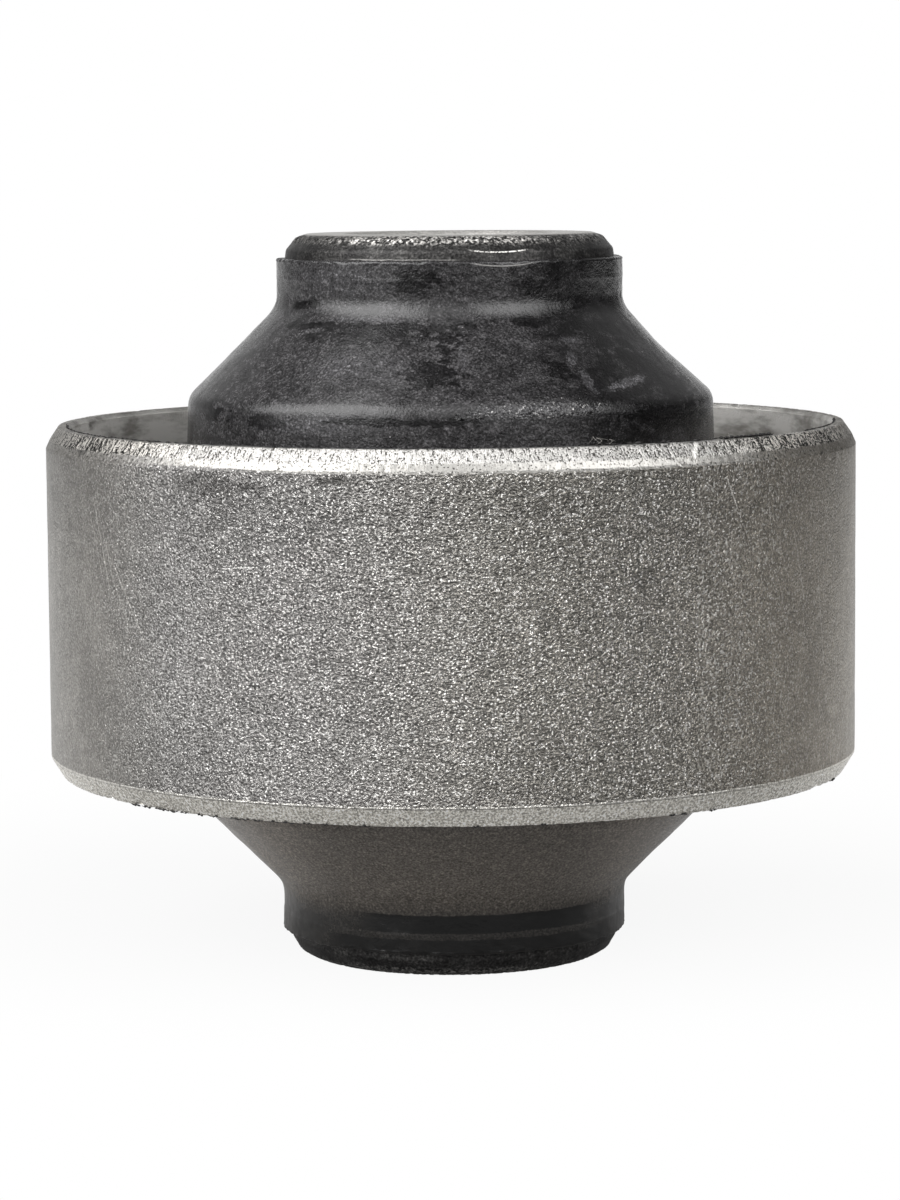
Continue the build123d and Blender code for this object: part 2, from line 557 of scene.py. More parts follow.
def tube_relief(turn, radius, height):
    """A rough turned crown, broken by chatter every third of a millimetre, and one raised burr.

    Nothing rises above the flat ends, because those are the ends of the whole bush.
    """
    rough = waves(turn, radius, TUBE_RADIUS, 0.5, seed=31)
    crown = np.exp(-((radius - BEVEL_RADIUS) / 0.4) ** 2) * (np.abs(height) > TUBE_END - 0.6)
    raised = BURR_HEIGHT * burr(turn, height, *BURR)
    lift = np.minimum(0.03 * rough * crown, 0.02) + 0.004 * np.minimum(rough, 0) + raised
    return np.where(np.abs(height) > TUBE_END - 0.03, np.minimum(lift, 0), lift)


tube = lathe("centre_tube", tube_section, TUBE_COLUMNS, tube_relief)

# %% [markdown]
# ## Shreds of rubber and lint
#
# Rubber that crept over the ring's edges was torn off. It left black shreds there, and a ragged line along
# parts of the rim's inner edge. A few pale fibres have settled on the rim too. Each is a strand: a small
# six-sided ring of points carried along a path and tapered to both ends. A curve with a bevel depth would do
# the same, one object at a time. Here a few dozen strands become one mesh in one go.

# %% Strands
STRAND_SIDES = 6


def strand(path, thickness):
    """Points and faces of one closed strand.

    Round path point i lie six points, at thickness i times (cos a * side + sin a * lift), where side and
    lift are square to the path and to each other. Two faces close each end.
    """
    ahead = np.gradient(path, axis=0)
    ahead /= np.linalg.norm(ahead, axis=1, keepdims=True)
    side = np.cross(ahead, (0.31, 0.22, 0.93))
    side /= np.linalg.norm(side, axis=1, keepdims=True)
    lift = np.cross(ahead, side)
    angle = np.arange(STRAND_SIDES)[None, :, None] * 2 * np.pi / STRAND_SIDES
    spoke = np.cos(angle) * side[:, None] + np.sin(angle) * lift[:, None]
    points = path[:, None] + thickness[:, None, None] * spoke
    row, column = np.meshgrid(np.arange(len(path) - 1), np.arange(STRAND_SIDES), indexing="ij")
    here, beside = row * STRAND_SIDES + column, row * STRAND_SIDES + (column + 1) % STRAND_SIDES
    walls = np.stack([here, beside, beside + STRAND_SIDES, here + STRAND_SIDES], -1).reshape(-1, 4)
    last = (len(path) - 1) * STRAND_SIDES
    first_cap = [[3, 2, 1, 0], [5, 4, 3, 0]]
    last_cap = [[last, last + 1, last + 2, last + 3], [last, last + 3, last + 4, last + 5]]
    return points.reshape(-1, 3), np.concatenate([walls, first_cap, last_cap])


def bundle(name, strands):
    """Many strands as one mesh object."""
    points = [strand_points for strand_points, faces in strands]
    starts = np.cumsum([0] + [len(strand_points) for strand_points in points[:-1]])
    quads = [faces + start for (strand_points, faces), start in zip(strands, starts)]
    return solid(name, np.concatenate(points), np.concatenate(quads))


# %% Torn shreds
def round_the_axis(turn, radius, height):
    """Points at these turns (radians), radii and heights."""
    turn, radius, height = np.broadcast_arrays(turn, radius, height)
    return np.stack([radius * np.sin(turn), -radius * np.cos(turn), height], 1)


def shreds(name, middles, radius, height, longest, thickest, seed):
    """Torn flash: strands that follow a circle for a short way, wander off it and swell unevenly."""
    draw = np.random.default_rng(seed)
    made = []
    for middle in middles:
        along = np.linspace(-1, 1, 25)
        length = longest * draw.uniform(0.35, 1)
        turn = math.radians(middle) + along * length / 2 / radius
        wander = 0.07 * np.cos(along * draw.uniform(3, 8) + draw.uniform(0, 6))
        swell = 0.65 + 0.35 * np.cos(along * draw.uniform(6, 12) + draw.uniform(0, 6))
        thickness = thickest * draw.uniform(0.6, 1) * swell * (1.02 - along**2)
        made.append(strand(round_the_axis(turn, radius + wander, height + 0.6 * wander), thickness))
    return bundle(name, made)


draw = np.random.default_rng(40)
rim_places = [43.5, 45.5, 50.0, 52.0, 57.5, 66, 70, -62, 30, *draw.uniform(146, 214, 6)]
rim_shreds = shreds("rim_shreds", rim_places, LINING_RADIUS + 0.12, RIM - 0.12, 1.6, 0.12, seed=41)
edge_places = [44.6, 45.9, 48.6, 49.7, 41.0, 36.5, 31.0, 26.0, 22.5, 42.2, 43.4, 47.2, 51.0, 42.8, 46.6]
edge_bits = shreds("edge_bits", edge_places, LINING_RADIUS + 0.26, RIM + 0.06, 1.9, 0.15, seed=43)
line_places = [*np.arange(-86, -26, 2.4), *np.arange(64, 90, 2.4)]
edge_line = shreds("edge_line", line_places, LINING_RADIUS + 0.2, RIM - 0.01, 3.0, 0.08, seed=44)
foot_places = [-50, -47.5, -45, -44, -42, -40, -37, -34.5, -31, -29.5, -27.5, -25, -23, -20, -17.5]
foot_places += [31, 33, 38, 12, 3, -12, *draw.uniform(60, 300, 24)]
foot_shreds = shreds("foot_shreds", foot_places, LINING_RADIUS + 1.0, 0.02 - RIM, 1.3, 0.11, seed=42)


# %% Lint
def fibre(turn, reach, lift, curl, seed):
    """A pale hair that starts on the rim, leans inwards by `reach`, rises by `lift` and curls."""
    draw = np.random.default_rng(seed)
    along = np.linspace(0, 1, 30)
    radius = LINING_RADIUS + 0.5 - reach * along
    height = RIM + 0.02 + lift * np.sin(along * np.pi * draw.uniform(0.6, 1))
    sway = math.radians(turn) + curl * (along + 0.25 * np.sin(along * draw.uniform(4, 9))) / LINING_RADIUS
    return strand(round_the_axis(sway, radius, height), 0.013 * (1.02 - (2 * along - 1) ** 4))


FIBRES = (  # turn, reach, lift, curl
    (19.8, 1.2, 0.45, 1.3), (21.0, 0.9, 0.55, -0.9), (21.6, 0.7, 0.35, 0.9), (42.0, 0.2, 0.4, 0.15),
    (150.0, 1.0, 0.2, 1.2), (215.0, 0.8, 0.2, -1.3),
)
lint = bundle("lint", [fibre(*values, seed=50 + index) for index, values in enumerate(FIBRES)])

# %% [markdown]
# ## Finish of the ring
# The flecks over the grain are painted glints, near-white where the dimples' rims catch the light, and the
# dark holes are painted shade in the pits. Both, and the grain's contrast, are painted strongest in front and
# behind and weaker at both sides. The left side is painted lighter, as painted light.
#
# The flank is blasted. Each grain of shot left a dimple a few tenths of a millimetre across. A Voronoi
# texture gives the distance to the nearest of many scattered points, and a bump that follows it is a field of
# dimples. Between them runs a finer grain. Its colour is multiplied by e to the power of a noise, because
# real grain has many dull spots and a few very bright ones. The flank was rubbed smoother at both sides,
# where fine scratches show, and a few marks that anyone would notice are listed one by one.
#
# The lead-in cone was ploughed by the tool, so its noise is drawn out down the cone. Where that noise is low
# the steel is painted dark as shade in the grooves, and where it is high it is bare steel, painted bright as
# light on the crests, harder towards the sides. The land under it, the foot and the coated inner wall each
# have a plainer finish of their own. The land's bright colour is painted light, kept to the front.

# %% Colours of the ring
COOL_STEEL, OLIVE_STEEL = paint(133, 131, 129), paint(127, 124, 118)
# The left steel is painted light: the flank's left side drawn lighter.
LIT_LEFT_STEEL, RIGHT_STEEL = paint(146, 143, 138), paint(132, 126, 116)
# The glint colour below is a painted highlight for the flecks, and the pit colour is painted shade.
STEEL_GLINT, PIT_SHADE, SCUFFED = paint(240, 238, 235), paint(76, 74, 70), paint(205, 201, 195)
DIRT, SCRATCH, BURR_METAL = paint(50, 48, 45), paint(244, 242, 238), paint(240, 237, 230)
# The groove colours are painted shade in the tool's grooves, and the crest colours painted light on its
# crests.
SHADED_GROOVE_IN_FRONT, SHADED_GROOVE_AT_SIDES = paint(70, 68, 65), paint(25, 24, 22)
LIT_CREST_IN_FRONT, LIT_CREST_AT_SIDES = paint(188, 186, 183), paint(216, 212, 205)
LAND_DARK, LAND_BRIGHT, TORN_OUT = paint(126, 123, 118), paint(172, 170, 166), paint(52, 50, 47)
FOOT_STEEL = paint(224, 220, 211)
COATING_DARK, COATING_PALE = paint(126, 123, 118), paint(196, 194, 190)
# The two colours below paint a darker band along the rim's inner edge, in front only.
INNER_EDGE_DARK, INNER_EDGE_PALE = paint(40, 38, 36), paint(110, 106, 101)
print("cool steel is", [round(v, 3) for v in COOL_STEEL])

# %% Marks that are listed one by one
SCRATCHES = (  # turn and height of both ends, half width in mm, strength
    (-57.5, 9.0, -53.0, 2.0, 0.06, 0.7), (-56.5, 8.6, -52.3, 3.0, 0.05, 0.5),
    (-58.6, 8.0, -54.6, 2.4, 0.05, 0.5), (-52.2, 4.2, -46.0, -0.6, 0.06, 0.7),
    (-53.0, 3.6, -48.0, -0.8, 0.05, 0.5), (-60.5, 6.0, -57.0, 0.5, 0.05, 0.4),
    (39.0, 10.5, 41.2, 8.0, 0.08, 0.8), (47.3, 8.2, 47.8, 6.8, 0.07, 0.6),
    (40.2, 7.0, 39.6, 4.0, 0.06, 0.5), (53.0, 6.5, 56.0, 1.0, 0.05, 0.5),
    (60.0, 3.0, 62.0, -4.0, 0.05, 0.4), (132.0, 7.0, 138.0, -2.0, 0.06, 0.5),
    (216.0, 3.0, 224.0, -6.0, 0.06, 0.5),
)
HAIR = (-31.9, 4.5, -26.2, 4.75, 0.045, 0.8)
NICK = (35.5, 12.95, 33.8, 11.75, 0.22, 1.0)
SMUDGES = (  # turn, height, half width in degrees, half height in mm, strength
    (-15.5, 10.75, 3.5, 0.28, 0.6), (-34.5, 9.6, 0.5, 0.2, 0.6), (-34.0, 10.3, 7.0, 0.6, 0.4),
    (-62.0, 12.0, 2.4, 0.5, 0.7), (26.0, 4.0, 2.0, 0.5, 0.35), (150.0, 6.0, 5.0, 2.0, 0.2),
)
print(len(SCRATCHES) + 2, "scratches and", len(SMUDGES), "smudges")


def scratches(f, at, places):
    """The strongest, at each point, of some straight marks on the unrolled flank.

    Each runs from one turn and height to another. It is 1 on its middle line, fades to 0 at its half width,
    and fades out over its last 0.4 mm.
    """
    strongest = 0.0
    mm_per_degree = math.radians(1) * RING_RADIUS
    for from_turn, from_height, to_turn, to_height, half_width, strength in places:
        run, rise = (to_turn - from_turn) * mm_per_degree, to_height - from_height
        length = math.hypot(run, rise)
        away = f.turn_from(at["turn"], from_turn)
        across, upward = away * mm_per_degree, at["z"] - from_height
        along = across * (run / length) + upward * (rise / length)
        aside = abs(across * (rise / length) - upward * (run / length))
        mark = f.step(aside, half_width, half_width * 0.3) * f.band(along, length / 2, length / 2 - 0.4, 0.4)
        strongest = (mark * strength).most(strongest)
    return strongest


def smears(f, at, wander, places):
    """The strongest, at each point, of some ellipses: 1 inside, 0 outside, with a wandering border.

    A sixth value, if there is one, leans the ellipse: its middle climbs by that many millimetres a degree.
    """
    strongest = 0.0
    for degrees, middle, half_turn, half_height, strength, *lean in places:
        away = f.turn_from(at["turn"], degrees)
        climb = away * lean[0] if lean else 0.0
        across, upward = away / half_turn, (at["z"] - middle - climb) / half_height
        distance = (across * across + upward * upward) ** 0.5 + wander
        strongest = (f.step(distance, 1.15, 0.88) * strength).most(strongest)
    return strongest


# %% Colour of the blasted wall
def flank_finish(f, at, grain, grain_and_glints):
    """Colour of the blasted wall: cool and olive steel, grain, patches, scratches, and painted light: glints,
    pit shade, a lighter left side.
    """
    place, x = at["place"], at["x"]
    patches = f.noise(place, 1.3, detail=3, roughness=0.6)
    clouds = f.noise(place, 6.5, detail=3)
    # Painted highlight: the flecks are near-white glints. Painted shade: the holes are dark pits.
    strokes = f.step(abs(f.noise(at["slanted"], 0.42, detail=0.5) - 0.5), 0.10, 0.04)
    flecks = strokes * f.step(f.noise(place, 0.34, detail=1), 0.57, 0.67) * 0.7
    flecks = flecks.most(f.step(f.noise(place, 0.16, detail=0.5), 0.58, 0.72))
    holes = f.step(f.noise(place, 0.24, detail=1.5), 0.40, 0.32)
    tone = math.e ** ((grain - 0.5) * (grain_and_glints * 2.4 + 2.2) + (patches - 0.5) * 0.8 + (clouds - 0.5) * 0.6)
    steel = f.mix(f.step(x, -13.0, 9.0), COOL_STEEL, OLIVE_STEEL)
    steel = f.mix(f.step(x, 12.0, 26.0), steel, RIGHT_STEEL)
    # Painted light: the flank's left side is painted lighter.
    steel = f.mix(f.step(x, -19.0, -26.0), steel, LIT_LEFT_STEEL)
    flank = f.toned(steel, tone * (1 - f.step(at["z"], 3.0, 9.0) * 0.17))
    flank = f.mix(flecks * (grain_and_glints * 0.4 + 0.25), flank, STEEL_GLINT)
    flank = f.mix(holes * (grain_and_glints * 0.42 + 0.28), flank, PIT_SHADE)
    marks = f.step(f.noise(at["scratched"], 0.2, detail=2), 0.64, 0.72) * f.step(patches, 0.42, 0.58)
    marks = (marks * (1 - grain_and_glints) * 0.55).most(scratches(f, at, SCRATCHES))
    flank = f.mix(marks, flank, SCUFFED)
    dirt = smears(f, at, (patches - 0.5) * 2.4, SMUDGES)
    flank = f.mix(dirt, flank, DIRT)
    return f.mix(scratches(f, at, [HAIR]), flank, SCRATCH)


# %% Colour of the lead-in cone and the land
def turned_finish(f, at, flank, pits, streaks, coarse, wobble):
    """Colour of the lead-in cone, ploughed across by the tool, over the brighter land.

    Painted shade in the grooves and painted light on crests and land, harder at the sides, darker at the
    left; the land fades into the flank.
    """
    sides = f.step(abs(at["turn"]), 16.0, 40.0)
    limbs = f.step(abs(at["turn"]), 34.0, 52.0)
    right = f.step(at["turn"], 2.0, 22.0)
    ploughed = streaks + (coarse - streaks) * (limbs * 0.75)
    cut = ploughed + (pits - 0.5) * (right * 0.3 + 0.5) + 0.05 - sides * 0.03 - limbs * 0.085 - right * 0.01
    groove = f.mix(limbs, SHADED_GROOVE_IN_FRONT, SHADED_GROOVE_AT_SIDES)
    crest = f.mix(limbs, LIT_CREST_IN_FRONT, LIT_CREST_AT_SIDES)
    lead_in = f.mix(f.step(cut, 0.38, 0.50), groove, crest)
    # Painted shade: the lead-in is darker at the left side, and beyond 66 degrees it fades into the flank's
    # colour.
    shaded = f.step(at["turn"], -43.0, -53.0) * f.step(abs(at["turn"]), 80.0, 70.0)
    lead_in = f.toned(lead_in, 1 - shaded * 0.25)
    lead_in = f.mix(f.step(abs(at["turn"]), 66.0, 80.0) * 0.6, lead_in, flank)
    land = f.mix(f.step(pits - sides * 0.05, 0.26, 0.42), LAND_DARK, LAND_BRIGHT)
    # Painted light: the land's bright colour is kept to the front and fades into the flank's colour at the
    # sides.
    land = f.mix(limbs * 0.75, land, flank)
    turned = f.mix(f.step(at["z"] + wobble, LAND_TOP + 0.05, LAND_TOP - 0.05), lead_in, land)
    holes = f.step(f.noise(at["place"], 0.17, detail=1), 0.39, 0.33)
    return f.mix(holes * 0.9, turned, TORN_OUT)


# %% Colours of the foot and the inner wall
def foot_colour(f, grain, pits):
    """The foot's chamfer: the brightest steel, times e to the power of its grain."""
    return f.toned(FOOT_STEEL, math.e ** ((grain - 0.5) * 4.6 + (pits - 0.5) * 1.6))


def inner_colours(f, at):
    """The inner wall's coating, drawn out round the axis, and a darker band along the rim's inner edge, in
    front only.
    """
    level_place = f.joined(at["x"] * 0.3, at["y"] * 0.3, at["z"])
    stain = f.noise(level_place, 1.5, detail=4, roughness=0.6)
    inner = f.mix(f.step(stain, 0.36, 0.62), COATING_DARK, COATING_PALE)
    inner_edge_band = f.mix(f.step(stain, 0.3, 0.6), INNER_EDGE_DARK, INNER_EDGE_PALE)
    return inner, f.mix(f.step(at["y"], -8.0, 2.0), inner_edge_band, inner)


# %% The whole finish of the ring
DIMPLE, DIMPLE_DEPTH = 0.32, 0.08


def ring_finish():
    """Each region's colour between its own heights and radii, over the bump of the blasting and the tool."""
    made, f, at = material("blasted_steel")
    place, x, z, radius = at["place"], at["x"], at["z"], at["radius"]
    round_x, round_y = x / radius * RING_RADIUS, at["y"] / radius * RING_RADIUS
    along = at["turn"] * (math.pi / 180 * RING_RADIUS)
    at["slanted"] = f.joined((along + z * 0.5) * 0.6, z - along * 0.5, 0.0)
    at["scratched"] = f.joined(along + z * (0.2 - x * 0.027), z * 0.05, 0.0)
    radial = f.joined(round_x, round_y, z * 0.3)

    grain = f.noise(place, 0.17, detail=2, roughness=0.75)
    dimples = f.step(f.scattered(place, DIMPLE, "Distance"), 0.05, 0.42)
    # Painted light: glints, pit shade and grain contrast are strongest in front and behind, weaker at both
    # sides, where the bump is smoother too.
    grain_and_glints = f.step(at["y"], -14.0, -28.0).most(f.step(at["y"], -3.0, 22.0))
    streaks = f.noise(radial, 0.17, detail=2.5, roughness=0.75)
    coarse = f.noise(radial, 0.32, detail=2.5, roughness=0.75)
    pits = f.noise(place, 0.14, detail=1)
    wobble = (f.noise(radial, 0.8, detail=4, roughness=0.75) - 0.5) * 0.34

    flank = flank_finish(f, at, grain, grain_and_glints)
    turned = turned_finish(f, at, flank, pits, streaks, coarse, wobble)
    thinner = f.step(at["turn"], -20.0, -34.0) * 0.2
    burr_line = f.band(z + wobble * 0.6, FOOT_TOP + 0.1, 0.05, 0.06) * f.step(streaks, 0.34, 0.5)
    inner, inner_edge_band = inner_colours(f, at)

    colour = f.mix(f.step(z + wobble - thinner, LAND_FOOT - 0.06, LAND_FOOT + 0.06), flank, turned)
    below = f.step(z + wobble * 0.6, FOOT_TOP + 0.03, FOOT_TOP - 0.03)
    colour = f.mix(below, colour, foot_colour(f, grain, pits))
    colour = f.mix(burr_line * 0.8, colour, BURR_METAL)
    ragged = radius + wobble * 0.5
    edge = f.step(ragged, LINING_RADIUS + RIM_BREAK + 0.04, LINING_RADIUS + RIM_BREAK - 0.04)
    # A darker band along the rim's inner edge, painted in front only.
    colour = f.mix(edge, colour, inner_edge_band)
    colour = f.mix(scratches(f, at, [NICK]), colour, SCRATCH)
    coated = f.step(radius, LINING_RADIUS + 0.08, LINING_RADIUS + 0.02)
    colour = f.mix(coated, colour, inner)

    on_flank = f.step(z, LAND_FOOT + 0.2, LAND_FOOT - 0.1) * f.step(z, FOOT_TOP - 0.05, FOOT_TOP + 0.1)
    blasted = on_flank * (1 - edge) * (grain_and_glints * 0.65 + 0.35)
    on_lead_in = f.step(z, LAND_TOP - 0.1, LAND_TOP + 0.1)
    height = blasted * (dimples * DIMPLE_DEPTH + (grain - 0.5) * 0.17) + (streaks - 0.5) * 0.03
    height = height + on_lead_in * ((streaks - 0.5) * 0.07 + (pits - 0.5) * 0.03)
    roughness = 0.42 - blasted * 0.16 + coated * 0.2
    f.surface(colour, roughness=roughness, normal=f.leaning(height), metallic=0.85 - coated * 0.65)
    return made


blasted_steel = ring_finish()
print("blasted_steel:", len(blasted_steel.node_tree.nodes), "nodes")

# %% [markdown]
# ## Finish of the rubber
#
# Moulded rubber is almost black and a little shiny. On the upper end a grey bloom lies over the front and
# the left, drawn out round the axis, and it has been wiped off in places. The dark places just under the
# shoulder are painted shade. A few paler smears, a crinkled patch on the shoulder with painted glints on it,
# and some dust lie over it, and a painted highlight follows the pressed crease under the lip. The lower end's
# cone is painted lighter and browner, standing for light from below, its collar is painted dark as shade,
# with black belts of painted shade round it, and a painted sheen lies at both sides. Each smear is an ellipse
# in turn and height whose border is pushed about by a noise. Each belt keeps straight edges and goes straight
# round.

# %% Places on the rubber
WIPED_AND_SHADED = (  # turn in degrees, height, half width in degrees, half height, strength, lean
    (-1.5, 19.5, 5.0, 0.8, 0.72), (-1.2, 18.5, 2.0, 0.8, 0.7), (-4.5, 17.2, 6.5, 0.85, 0.72),
    (-29.0, 20.4, 31.0, 0.28, 0.75), (-25.0, 19.7, 22.0, 0.5, 0.62), (-53.0, 21.85, 11.0, 0.25, 0.9, 0.01),
    (-11.5, 23.6, 6.0, 0.7, 0.9), (26.5, 20.7, 6.5, 0.38, 0.8), (27.0, 17.3, 2.5, 0.7, 0.8),
    (41.0, 17.6, 2.6, 0.9, 0.95), (36.0, 16.7, 1.5, 1.0, 0.9), (46.5, 18.8, 5.0, 0.9, 0.9),
    (44.0, 20.0, 6.0, 0.6, 0.9), (43.0, 15.55, 12.0, 0.25, 0.95, 0.03), (56.0, 17.5, 5.0, 2.6, 0.7),
    # The places at a height near 14 mm, in this row and the next, lie just under the shoulder and are painted
    # shade; the rest are wiped places.
    (-11.0, 13.95, 15.0, 0.26, 0.95), (-62.0, 14.3, 7.0, 0.7, 0.9), (-42.0, 13.8, 5.0, 0.5, 0.8),
    (61.0, 14.0, 22.0, 0.9, 0.95), (-51.0, 21.9, 9.0, 0.12, 1.0), (-46.0, 20.5, 9.0, 0.1, 1.0, 0.02),
    (104, 17.5, 14, 2.0, 0.7), (163, 20.5, 16, 1.2, 0.8),
    (214, 16.5, 12, 1.6, 0.8), (258, 19.0, 14, 1.0, 0.8),
)
PALE_SMEARS = (
    (45.5, 16.35, 8.0, 0.26, 0.85, 0.045), (35.5, 19.3, 4.0, 0.25, 0.6), (32.0, 18.0, 2.0, 0.5, 0.5, 0.12),
    (33.5, 16.5, 1.5, 0.8, 0.5), (3.3, 18.5, 1.2, 1.1, 0.5), (-28.0, 20.85, 14.0, 0.2, 0.5),
    (-22.0, 17.6, 15.0, 0.9, 0.3), (-40.0, 23.7, 18.0, 1.2, 0.4), (-32.0, 13.7, 17.0, 0.6, 0.5),
    (18.0, 14.75, 11.0, 0.45, 0.45), (140, 17.0, 12, 0.6, 0.5), (236, 18.5, 9, 1.5, 0.4),
)
DULL_SMEARS = ((0, 20.9, 6, 0.9, 0.8), (4, 14.8, 7, 0.7, 0.6), (60, 18, 14, 4, 0.8), (150, 15, 18, 1.0, 0.7))
CRINKLED = (19, 14.75, 13, 0.6, 1.0)
# The lower belts are painted shade round the lower collar.
LOWER_SHADE_BELTS = (
    (10.0, -22.75, 42.0, 0.6, 1.0), (10.0, -24.4, 55.0, 0.45, 0.9), (70.0, -23.6, 16.0, 1.1, 0.5),
    (-58.0, -23.8, 12.0, 1.0, 0.5), (180.0, -23.5, 70.0, 1.0, 0.7),
)
RUBBER_SMEARS = {"wiped": WIPED_AND_SHADED, "pale": PALE_SMEARS, "dull": DULL_SMEARS, "crinkled": [CRINKLED]}
CREASE = (17.4, 11.0, 24.87, 0.24)  # turn, half width in turn, height of its ends, and how far it sags
print(len(WIPED_AND_SHADED), "wiped places,", len(PALE_SMEARS), "pale smears,", len(LOWER_SHADE_BELTS), "belts")

# %% Colours of the rubber
BLACK, BLOOM, PALE, CLEAN_AND_SHADED_BLACK = paint(10, 9, 10), paint(51, 50, 51), paint(75, 74, 76), paint(8, 7, 8)
# The crease colour is a painted highlight.
GLINT, CREASE_HIGHLIGHT, DUST = paint(236, 234, 231), paint(150, 148, 146), paint(150, 148, 148)
# The lower cone's colour is painted light, and the collar's and the belts' colours are painted shade.
LIT_LOWER_CONE, SHADED_LOWER_COLLAR, SHADE_BELT_BLACK = paint(108, 102, 95), paint(40, 38, 36), paint(6, 6, 6)
print("bloom is", [round(v, 3) for v in BLOOM])


# %% Arcs and belts
def arc_mark(f, at, middle, half, level, sag):
    """1 along a thin line that hangs in an arc, `sag` below its ends in the middle, as the burr does."""
    away = at["turn"] - middle
    share = away / half
    ridge = level - sag * (1 - share * share)
    return f.band(at["z"] - ridge, 0.0, 0.02, 0.05) * f.step(abs(away), half, half - 3)


def belts(f, at, wander, places):
    """The strongest, at each point, of some level belts with crisp edges that fade out at both ends."""
    strongest = 0.0
    for degrees, middle, half_turn, half_height, strength in places:
        away = f.turn_from(at["turn"], degrees)
        belt = f.band(at["z"] - middle + wander, 0, half_height, 0.12) * f.band(away, 0, half_turn - 8, 16)
        strongest = (belt * strength).most(strongest)
    return strongest


# %% Colour of the upper end
BLOOM_MIDDLE, BLOOM_HALF, BLOOM_SOFT = -24.0, 40.0, 18.0
DUST_SPACING = 1.3


def bloom_share(f, at, streaky):
    """How much bloom there is: most in front and at the left, a patch at the right, and clouds behind.

    Streaks run through all of it, and the lining has little.
    """
    from_middle = f.turn_from(at["turn"], BLOOM_MIDDLE)
    in_front = f.band(from_middle, 0, BLOOM_HALF, BLOOM_SOFT)
    cloudy = f.noise(at["place"], 6.0, detail=2)
    behind = f.step(at["y"], 0.0, 8.0) * f.step(cloudy, 0.4, 0.6)
    at_right = f.band(at["turn"], 86.0, 14.0, 16.0) * f.step(at["z"], 21.5, 19.5) * 0.55
    bloom = in_front.most(behind).most(at_right) * 0.7 + (streaky - 0.5) * 2.8 + 0.15
    return bloom.most(0.0).least(1.0) * (1 - f.step(at["radius"], 22.0, 24.0) * 0.85)


def upper_colour(f, at, marks, streaky, mottle, grit):
    """Black under bloom, then pale smears, wiped places and painted shade under the shoulder, glints where it
    is crinkled, and a painted highlight along the crease.
    """
    grain = math.e ** ((mottle - 0.5) * 3.0 + (grit - 0.5) * 6.0 - 0.1)
    top = f.toned(f.mix(bloom_share(f, at, streaky), BLACK, BLOOM), grain)
    top = f.mix(marks["pale"], top, f.toned(PALE, grain))
    # The clean black covers the wiped places and the painted shade under the shoulder.
    top = f.mix(marks["wiped"] * 0.92, top, f.toned(CLEAN_AND_SHADED_BLACK, grain))
    glints = marks["crinkled"] * f.step(grit, 0.57, 0.68) * f.step(mottle, 0.42, 0.56)
    top = f.mix(glints * 0.9, top, GLINT)
    # Painted highlight: a pale line along the pressed crease.
    return f.mix(arc_mark(f, at, *CREASE) * 0.8, top, CREASE_HIGHLIGHT)


def dust_share(f, at):
    """1 on specks round some of many scattered points, chosen by the colour that each point is given."""
    specks = f.scattered(at["place"], DUST_SPACING, "Distance")
    chance = f.parts(f.scattered(at["place"], DUST_SPACING, "Color"))[0]
    return f.step(specks, 0.055, 0.035) * f.step(chance, 0.62, 0.64)


# %% Colour of the lower end
def lower_colour(f, at, mottle, grit):
    """A cone painted lighter and browner for light from below, over a collar painted dark as shade, with a
    painted sheen at both sides and black belts of painted shade.
    """
    faint = math.e ** ((mottle - 0.5) * 0.8 + (grit - 0.5) * 4.0)
    # Painted highlight: a sheen at both sides of the lower cone.
    limb_sheen = f.step(abs(at["x"]), 8.0, 15.0) * f.step(at["z"], -23.0, -21.0)
    # Painted light and shade: the cone lighter, the collar darker.
    lower_light_and_shade = f.mix(f.step(at["z"], -20.0, -23.0), LIT_LOWER_CONE, SHADED_LOWER_COLLAR)
    bottom = f.toned(lower_light_and_shade, faint * (limb_sheen * 0.8 + 1))
    return f.mix(belts(f, at, (mottle - 0.5) * 0.25, LOWER_SHADE_BELTS), bottom, SHADE_BELT_BLACK)


# %% The whole finish of the rubber
def rubber_finish():
    """The upper and the lower end's colours, with a bump and a shine that follow the same noises."""
    made, f, at = material("moulded_rubber")
    place, z = at["place"], at["z"]
    drawn_out = f.joined(at["x"] * 0.5, at["y"] * 0.5, z)
    brushed = f.joined(at["x"] * 0.7, at["y"] * 0.7, z * 1.3)
    upper = f.step(z, -4.0, 4.0)
    streaky = f.noise(drawn_out, 1.7, detail=5, roughness=0.66, distortion=0.7)
    mottle = f.noise(brushed, 0.6, detail=3, roughness=0.7)
    grit = f.noise(place, 0.17, detail=2, roughness=0.7)
    wander = (streaky - 0.5) * 2.6 + (mottle - 0.5) * 3.2
    marks = {name: smears(f, at, wander, places) for name, places in RUBBER_SMEARS.items()}

    top = upper_colour(f, at, marks, streaky, mottle, grit)
    colour = f.mix(upper, lower_colour(f, at, mottle, grit), top)
    colour = f.mix(dust_share(f, at) * upper * 0.75, colour, DUST)

    height = (mottle - 0.5) * 0.020 + (grit - 0.5) * (upper * 0.021 + 0.012)
    height = height + marks["crinkled"] * (f.noise(place, 0.3, detail=2) - 0.5) * 0.2
    roughness = 0.23 + (streaky - 0.5) * 0.25 + marks["dull"] * 0.22
    roughness = roughness - marks["wiped"] * 0.06 - marks["crinkled"] * 0.1
    roughness = roughness + ((mottle - 0.5) * 0.3 + (grit - 0.5) * 0.3) * upper
    f.surface(colour, roughness=roughness, normal=f.leaning(height), metallic=0.0)
    return made


moulded_rubber = rubber_finish()
print("moulded_rubber:", len(moulded_rubber.node_tree.nodes), "nodes")


